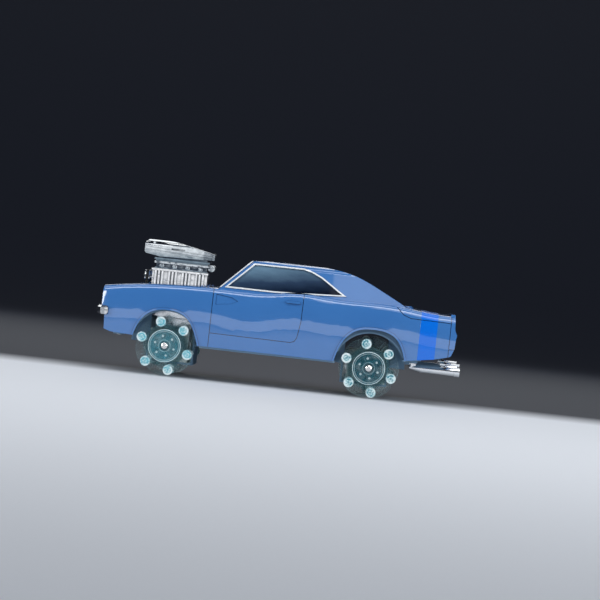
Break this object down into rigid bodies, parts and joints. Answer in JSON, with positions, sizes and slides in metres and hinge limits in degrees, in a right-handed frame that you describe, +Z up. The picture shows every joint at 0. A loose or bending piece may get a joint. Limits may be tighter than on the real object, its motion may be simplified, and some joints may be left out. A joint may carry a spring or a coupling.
{
  "type": "toy car",
  "caption": "Remote control drift car: glossy coupe body with a chrome blower through the hood, on clear mecanum wheels that let it drive sideways and spin.",
  "frame": {"origin": "on the ground under the middle of the car", "axes": "+X towards the tail, -Y the car's left side, +Z up"},
  "size_m": [0.2916, 0.1132, 0.1065],
  "materials": {
    "body_paint": "gloss moulded in blue with a brighter stripe",
    "smoked_glazing": "gloss smoked black",
    "chrome_trim": "vacuum plated",
    "grille_black": "satin black",
    "lamp_clear": "clear moulding",
    "lamp_red": "clear red moulding",
    "belt_black": "satin black",
    "chassis_black": "fine texture",
    "gearbox_plastic": "natural nylon",
    "motor_steel": "plated steel can",
    "battery_wrap": "shrink wrap",
    "board_green": "solder mask",
    "screw_steel": "zinc plated",
    "hub_clear": "clear tinted moulding",
    "roller_clear": "soft translucent",
    "gear_plastic": "acetal"
  },
  "bodies": {
    "car": {"body_shell": "body_paint", "window_glazing": "smoked_glazing", "window_trims": "chrome_trim", "grille": "grille_black", "headlamps": "lamp_clear", "front_bumper": "chrome_trim", "tail_lamps": "lamp_red", "blower_case": "chrome_trim", "injector_body": "chrome_trim", "scoop": "chrome_trim", "blower_drive": "belt_black", "chassis": "chassis_black", "gear_housings": "gearbox_plastic", "motors": "motor_steel", "battery_pack": "battery_wrap", "circuit_board": "board_green", "exhaust_pipes": "chrome_trim", "chassis_screws": "screw_steel"},
    "switch_knob": {"power_switch": "belt_black"},
    "battery_door": {"battery_cover": "chassis_black"},
    "wheel_front_left": {"hub_outer_front_left": "hub_clear", "hub_inner_front_left": "hub_clear", "wheel_screw_front_left": "screw_steel"},
    "pinion_front_left": {"pinion_front_left": "gear_plastic"},
    "roller_front_left_1": {"roller_front_left_1": "roller_clear"},
    "roller_front_left_2": {"roller_front_left_2": "roller_clear"},
    "roller_front_left_3": {"roller_front_left_3": "roller_clear"},
    "roller_front_left_4": {"roller_front_left_4": "roller_clear"},
    "roller_front_left_5": {"roller_front_left_5": "roller_clear"},
    "roller_front_left_6": {"roller_front_left_6": "roller_clear"},
    "wheel_front_right": {"hub_outer_front_right": "hub_clear", "hub_inner_front_right": "hub_clear", "wheel_screw_front_right": "screw_steel"},
    "pinion_front_right": {"pinion_front_right": "gear_plastic"},
    "roller_front_right_1": {"roller_front_right_1": "roller_clear"},
    "roller_front_right_2": {"roller_front_right_2": "roller_clear"},
    "roller_front_right_3": {"roller_front_right_3": "roller_clear"},
    "roller_front_right_4": {"roller_front_right_4": "roller_clear"},
    "roller_front_right_5": {"roller_front_right_5": "roller_clear"},
    "roller_front_right_6": {"roller_front_right_6": "roller_clear"},
    "wheel_rear_left": {"hub_outer_rear_left": "hub_clear", "hub_inner_rear_left": "hub_clear", "wheel_screw_rear_left": "screw_steel"},
    "pinion_rear_left": {"pinion_rear_left": "gear_plastic"},
    "roller_rear_left_1": {"roller_rear_left_1": "roller_clear"},
    "roller_rear_left_2": {"roller_rear_left_2": "roller_clear"},
    "roller_rear_left_3": {"roller_rear_left_3": "roller_clear"},
    "roller_rear_left_4": {"roller_rear_left_4": "roller_clear"},
    "roller_rear_left_5": {"roller_rear_left_5": "roller_clear"},
    "roller_rear_left_6": {"roller_rear_left_6": "roller_clear"},
    "wheel_rear_right": {"hub_outer_rear_right": "hub_clear", "hub_inner_rear_right": "hub_clear", "wheel_screw_rear_right": "screw_steel"},
    "pinion_rear_right": {"pinion_rear_right": "gear_plastic"},
    "roller_rear_right_1": {"roller_rear_right_1": "roller_clear"},
    "roller_rear_right_2": {"roller_rear_right_2": "roller_clear"},
    "roller_rear_right_3": {"roller_rear_right_3": "roller_clear"},
    "roller_rear_right_4": {"roller_rear_right_4": "roller_clear"},
    "roller_rear_right_5": {"roller_rear_right_5": "roller_clear"},
    "roller_rear_right_6": {"roller_rear_right_6": "roller_clear"}
  },
  "joints": [
    {"name": "power_switch_slide", "type": "slide", "parent": "car", "child": "switch_knob", "axis": [1, 0, 0], "range_m": [0, 0.004]},
    {"name": "battery_cover_lift", "type": "slide", "parent": "car", "child": "battery_door", "axis": [0, 0, -1], "range_m": [0, 0.03]},
    {"name": "wheel_spin_front_left", "type": "hinge", "parent": "car", "child": "wheel_front_left", "pos_m": [-0.08825, -0.043, 0.024], "axis": [0, 1, 0], "continuous": true},
    {"name": "pinion_spin_front_left", "type": "hinge", "parent": "car", "child": "pinion_front_left", "pos_m": [-0.07622, -0.0241, 0.024], "axis": [0, 1, 0], "continuous": true},
    {"name": "roller_spin_front_left_1", "type": "hinge", "parent": "wheel_front_left", "child": "roller_front_left_1", "pos_m": [-0.07102, -0.043, 0.02976], "axis": [-0.2244, -0.7071, 0.6706], "continuous": true},
    {"name": "roller_spin_front_left_2", "type": "hinge", "parent": "wheel_front_left", "child": "roller_front_left_2", "pos_m": [-0.08463, -0.043, 0.0418], "axis": [-0.6929, -0.7071, 0.141], "continuous": true},
    {"name": "roller_spin_front_left_3", "type": "hinge", "parent": "wheel_front_left", "child": "roller_front_left_3", "pos_m": [-0.10186, -0.043, 0.03604], "axis": [-0.4685, -0.7071, -0.5296], "continuous": true},
    {"name": "roller_spin_front_left_4", "type": "hinge", "parent": "wheel_front_left", "child": "roller_front_left_4", "pos_m": [-0.10548, -0.043, 0.01824], "axis": [0.2244, -0.7071, -0.6706], "continuous": true},
    {"name": "roller_spin_front_left_5", "type": "hinge", "parent": "wheel_front_left", "child": "roller_front_left_5", "pos_m": [-0.09187, -0.043, 0.0062], "axis": [0.6929, -0.7071, -0.141], "continuous": true},
    {"name": "roller_spin_front_left_6", "type": "hinge", "parent": "wheel_front_left", "child": "roller_front_left_6", "pos_m": [-0.07464, -0.043, 0.01196], "axis": [0.4685, -0.7071, 0.5296], "continuous": true},
    {"name": "wheel_spin_front_right", "type": "hinge", "parent": "car", "child": "wheel_front_right", "pos_m": [-0.08825, 0.043, 0.024], "axis": [0, 1, 0], "continuous": true},
    {"name": "pinion_spin_front_right", "type": "hinge", "parent": "car", "child": "pinion_front_right", "pos_m": [-0.07622, 0.0241, 0.024], "axis": [0, 1, 0], "continuous": true},
    {"name": "roller_spin_front_right_1", "type": "hinge", "parent": "wheel_front_right", "child": "roller_front_right_1", "pos_m": [-0.07102, 0.043, 0.02976], "axis": [-0.2244, 0.7071, 0.6706], "continuous": true},
    {"name": "roller_spin_front_right_2", "type": "hinge", "parent": "wheel_front_right", "child": "roller_front_right_2", "pos_m": [-0.08463, 0.043, 0.0418], "axis": [-0.6929, 0.7071, 0.141], "continuous": true},
    {"name": "roller_spin_front_right_3", "type": "hinge", "parent": "wheel_front_right", "child": "roller_front_right_3", "pos_m": [-0.10186, 0.043, 0.03604], "axis": [-0.4685, 0.7071, -0.5296], "continuous": true},
    {"name": "roller_spin_front_right_4", "type": "hinge", "parent": "wheel_front_right", "child": "roller_front_right_4", "pos_m": [-0.10548, 0.043, 0.01824], "axis": [0.2244, 0.7071, -0.6706], "continuous": true},
    {"name": "roller_spin_front_right_5", "type": "hinge", "parent": "wheel_front_right", "child": "roller_front_right_5", "pos_m": [-0.09187, 0.043, 0.0062], "axis": [0.6929, 0.7071, -0.141], "continuous": true},
    {"name": "roller_spin_front_right_6", "type": "hinge", "parent": "wheel_front_right", "child": "roller_front_right_6", "pos_m": [-0.07464, 0.043, 0.01196], "axis": [0.4685, 0.7071, 0.5296], "continuous": true},
    {"name": "wheel_spin_rear_left", "type": "hinge", "parent": "car", "child": "wheel_rear_left", "pos_m": [0.07375, -0.043, 0.024], "axis": [0, 1, 0], "continuous": true},
    {"name": "pinion_spin_rear_left", "type": "hinge", "parent": "car", "child": "pinion_rear_left", "pos_m": [0.06172, -0.0241, 0.024], "axis": [0, 1, 0], "continuous": true},
    {"name": "roller_spin_rear_left_1", "type": "hinge", "parent": "wheel_rear_left", "child": "roller_rear_left_1", "pos_m": [0.08099, -0.043, 0.04066], "axis": [0.6485, -0.7071, -0.282], "continuous": true},
    {"name": "roller_spin_rear_left_2", "type": "hinge", "parent": "wheel_rear_left", "child": "roller_rear_left_2", "pos_m": [0.06294, -0.043, 0.0386], "axis": [0.5684, -0.7071, 0.4206], "continuous": true},
    {"name": "roller_spin_rear_left_3", "type": "hinge", "parent": "wheel_rear_left", "child": "roller_rear_left_3", "pos_m": [0.0557, -0.043, 0.02194], "axis": [-0.08, -0.7071, 0.7026], "continuous": true},
    {"name": "roller_spin_rear_left_4", "type": "hinge", "parent": "wheel_rear_left", "child": "roller_rear_left_4", "pos_m": [0.06651, -0.043, 0.00734], "axis": [-0.6485, -0.7071, 0.282], "continuous": true},
    {"name": "roller_spin_rear_left_5", "type": "hinge", "parent": "wheel_rear_left", "child": "roller_rear_left_5", "pos_m": [0.08456, -0.043, 0.0094], "axis": [-0.5684, -0.7071, -0.4206], "continuous": true},
    {"name": "roller_spin_rear_left_6", "type": "hinge", "parent": "wheel_rear_left", "child": "roller_rear_left_6", "pos_m": [0.0918, -0.043, 0.02606], "axis": [0.08, -0.7071, -0.7026], "continuous": true},
    {"name": "wheel_spin_rear_right", "type": "hinge", "parent": "car", "child": "wheel_rear_right", "pos_m": [0.07375, 0.043, 0.024], "axis": [0, 1, 0], "continuous": true},
    {"name": "pinion_spin_rear_right", "type": "hinge", "parent": "car", "child": "pinion_rear_right", "pos_m": [0.06172, 0.0241, 0.024], "axis": [0, 1, 0], "continuous": true},
    {"name": "roller_spin_rear_right_1", "type": "hinge", "parent": "wheel_rear_right", "child": "roller_rear_right_1", "pos_m": [0.08099, 0.043, 0.04066], "axis": [0.6485, 0.7071, -0.282], "continuous": true},
    {"name": "roller_spin_rear_right_2", "type": "hinge", "parent": "wheel_rear_right", "child": "roller_rear_right_2", "pos_m": [0.06294, 0.043, 0.0386], "axis": [0.5684, 0.7071, 0.4206], "continuous": true},
    {"name": "roller_spin_rear_right_3", "type": "hinge", "parent": "wheel_rear_right", "child": "roller_rear_right_3", "pos_m": [0.0557, 0.043, 0.02194], "axis": [-0.08, 0.7071, 0.7026], "continuous": true},
    {"name": "roller_spin_rear_right_4", "type": "hinge", "parent": "wheel_rear_right", "child": "roller_rear_right_4", "pos_m": [0.06651, 0.043, 0.00734], "axis": [-0.6485, 0.7071, 0.282], "continuous": true},
    {"name": "roller_spin_rear_right_5", "type": "hinge", "parent": "wheel_rear_right", "child": "roller_rear_right_5", "pos_m": [0.08456, 0.043, 0.0094], "axis": [-0.5684, 0.7071, -0.4206], "continuous": true},
    {"name": "roller_spin_rear_right_6", "type": "hinge", "parent": "wheel_rear_right", "child": "roller_rear_right_6", "pos_m": [0.0918, 0.043, 0.02606], "axis": [0.08, 0.7071, -0.7026], "continuous": true}
  ],
  "couplings": [
    {"joint": "pinion_spin_front_left", "follows": "wheel_spin_front_left", "ratio": -3},
    {"joint": "pinion_spin_front_right", "follows": "wheel_spin_front_right", "ratio": -3},
    {"joint": "pinion_spin_rear_left", "follows": "wheel_spin_rear_left", "ratio": -3},
    {"joint": "pinion_spin_rear_right", "follows": "wheel_spin_rear_right", "ratio": -3}
  ]
}
